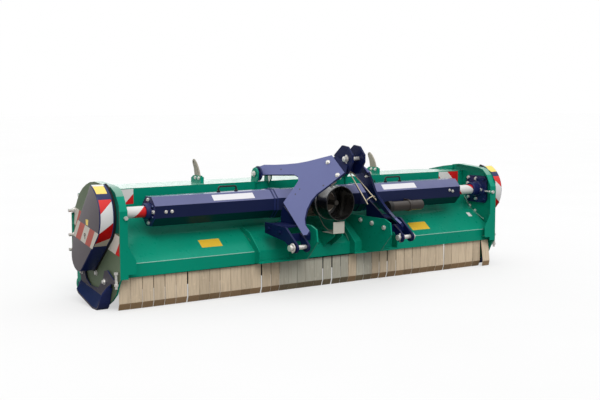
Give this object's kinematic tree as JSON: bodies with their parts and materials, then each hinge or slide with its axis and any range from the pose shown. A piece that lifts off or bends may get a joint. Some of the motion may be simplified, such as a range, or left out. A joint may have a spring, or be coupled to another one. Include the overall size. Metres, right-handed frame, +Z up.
{
  "type": "tractor flail mower",
  "caption": "Wide flail mower for a tractor's rear linkage: hammer rotor under a deck, belt drive at both ends, hinged front flaps, lifting rear hood, skid shoes and a rear roller.",
  "frame": {"origin": "on the ground under the middle of the machine's bounding box", "axes": "+X across the working width, -Y towards the tractor, +Z up"},
  "size_m": [3.24, 1.1578, 0.948],
  "materials": {
    "green_paint": "gloss enamel",
    "blue_paint": "gloss enamel",
    "zinc_plate": "zinc plated",
    "bare_steel": "satin",
    "flap_steel": "dull galvanised, dusty",
    "black_plastic": "matt",
    "rubber": "matt",
    "sleeve_white": "gloss film"
  },
  "bodies": {
    "frame": {"deck": "green_paint", "box_beam": "green_paint", "end_plate_right": "green_paint", "end_plate_left": "green_paint", "roller_arm_right": "green_paint", "roller_arm_left": "green_paint", "headstock_right": "blue_paint", "headstock_left": "blue_paint", "top_clevis": "blue_paint", "lower_clevis_right": "blue_paint", "lower_clevis_left": "blue_paint", "shaft_casing_right": "blue_paint", "shaft_casing_left": "blue_paint", "bearing_plate_right": "blue_paint", "bearing_plate_left": "blue_paint", "gearbox": "blue_paint", "belt_cover_right": "blue_paint", "belt_cover_left": "blue_paint", "skid_right": "blue_paint", "skid_left": "blue_paint", "top_link_pin": "zinc_plate", "lower_link_pin_right": "zinc_plate", "lower_link_pin_left": "zinc_plate", "belt_tensioner_right": "zinc_plate", "belt_tensioner_left": "zinc_plate", "guard_bracket": "zinc_plate", "flap_rod": "zinc_plate", "hood_rod": "zinc_plate", "guard_cable": "bare_steel", "hood_horn_right": "bare_steel", "hood_horn_left": "bare_steel", "casing_handle_right": "black_plastic", "casing_handle_left": "black_plastic", "pto_guard": "black_plastic", "tool_tube": "black_plastic", "drive_belt_right": "rubber", "drive_belt_left": "rubber", "cover_seal_right": "rubber", "cover_seal_left": "rubber", "shaft_sleeve_right": "sleeve_white", "shaft_sleeve_left": "sleeve_white"},
    "cross_drive": {"cross_shaft_right": "bare_steel", "cross_shaft_left": "bare_steel"},
    "input_drive": {"input_shaft": "bare_steel"},
    "rotor": {"rotor": "bare_steel"},
    "hammers_1": {"hammer_row_1": "bare_steel"},
    "hammers_2": {"hammer_row_2": "bare_steel"},
    "hammers_3": {"hammer_row_3": "bare_steel"},
    "hammers_4": {"hammer_row_4": "bare_steel"},
    "flaps_1": {"flap_group_1": "flap_steel"},
    "flaps_2": {"flap_group_2": "flap_steel"},
    "flaps_3": {"flap_group_3": "flap_steel"},
    "flaps_4": {"flap_group_4": "flap_steel"},
    "flaps_5": {"flap_group_5": "flap_steel"},
    "flaps_6": {"flap_group_6": "flap_steel"},
    "flaps_7": {"flap_group_7": "flap_steel"},
    "hood": {"rear_hood": "green_paint"},
    "roller": {"rear_roller": "blue_paint"},
    "rest": {"parking_rest": "zinc_plate"},
    "cap": {"tube_cap": "black_plastic"}
  },
  "joints": [
    {"name": "rotor_spin", "type": "hinge", "parent": "frame", "child": "rotor", "pos_m": [0, 0.23888, 0.276], "axis": [1, 0, 0], "continuous": true},
    {"name": "cross_spin", "type": "hinge", "parent": "frame", "child": "cross_drive", "pos_m": [0, 0.02888, 0.566], "axis": [1, 0, 0], "continuous": true},
    {"name": "input_spin", "type": "hinge", "parent": "frame", "child": "input_drive", "pos_m": [0, -0.10612, 0.566], "axis": [0, 1, 0], "continuous": true},
    {"name": "hammer_swing_1", "type": "hinge", "parent": "rotor", "child": "hammers_1", "pos_m": [0, 0.31525, 0.35237], "axis": [1, 0, 0], "range_deg": [0, 245]},
    {"name": "hammer_swing_2", "type": "hinge", "parent": "rotor", "child": "hammers_2", "pos_m": [0, 0.16252, 0.35237], "axis": [1, 0, 0], "range_deg": [-245, 0]},
    {"name": "hammer_swing_3", "type": "hinge", "parent": "rotor", "child": "hammers_3", "pos_m": [0, 0.16252, 0.19963], "axis": [1, 0, 0], "range_deg": [-167, 77]},
    {"name": "hammer_swing_4", "type": "hinge", "parent": "rotor", "child": "hammers_4", "pos_m": [0, 0.31525, 0.19963], "axis": [1, 0, 0], "range_deg": [-77, 167]},
    {"name": "flap_swing_1", "type": "hinge", "parent": "frame", "child": "flaps_1", "pos_m": [0, -0.08612, 0.253], "axis": [1, 0, 0], "range_deg": [0, 50]},
    {"name": "flap_swing_2", "type": "hinge", "parent": "frame", "child": "flaps_2", "pos_m": [0, -0.08612, 0.253], "axis": [1, 0, 0], "range_deg": [0, 50]},
    {"name": "flap_swing_3", "type": "hinge", "parent": "frame", "child": "flaps_3", "pos_m": [0, -0.08612, 0.253], "axis": [1, 0, 0], "range_deg": [0, 50]},
    {"name": "flap_swing_4", "type": "hinge", "parent": "frame", "child": "flaps_4", "pos_m": [0, -0.08612, 0.253], "axis": [1, 0, 0], "range_deg": [0, 50]},
    {"name": "flap_swing_5", "type": "hinge", "parent": "frame", "child": "flaps_5", "pos_m": [0, -0.08612, 0.253], "axis": [1, 0, 0], "range_deg": [0, 50]},
    {"name": "flap_swing_6", "type": "hinge", "parent": "frame", "child": "flaps_6", "pos_m": [0, -0.08612, 0.253], "axis": [1, 0, 0], "range_deg": [0, 50]},
    {"name": "flap_swing_7", "type": "hinge", "parent": "frame", "child": "flaps_7", "pos_m": [0, -0.08612, 0.253], "axis": [1, 0, 0], "range_deg": [0, 50]},
    {"name": "hood_lift", "type": "hinge", "parent": "frame", "child": "hood", "pos_m": [0, 0.49388, 0.641], "axis": [1, 0, 0], "range_deg": [0, 60]},
    {"name": "roller_spin", "type": "hinge", "parent": "frame", "child": "roller", "pos_m": [0, 0.49388, 0.07932], "axis": [1, 0, 0], "continuous": true},
    {"name": "rest_swing", "type": "hinge", "parent": "frame", "child": "rest", "pos_m": [0, -0.36112, 0.783], "axis": [1, 0, 0], "range_deg": [0, 46]},
    {"name": "cap_pull", "type": "slide", "parent": "frame", "child": "cap", "axis": [-1, 0, 0], "range_m": [0, 0.05]}
  ],
  "couplings": [
    {"joint": "cross_spin", "follows": "rotor_spin", "ratio": 0.56},
    {"joint": "input_spin", "follows": "rotor_spin", "ratio": 0.38182}
  ]
}
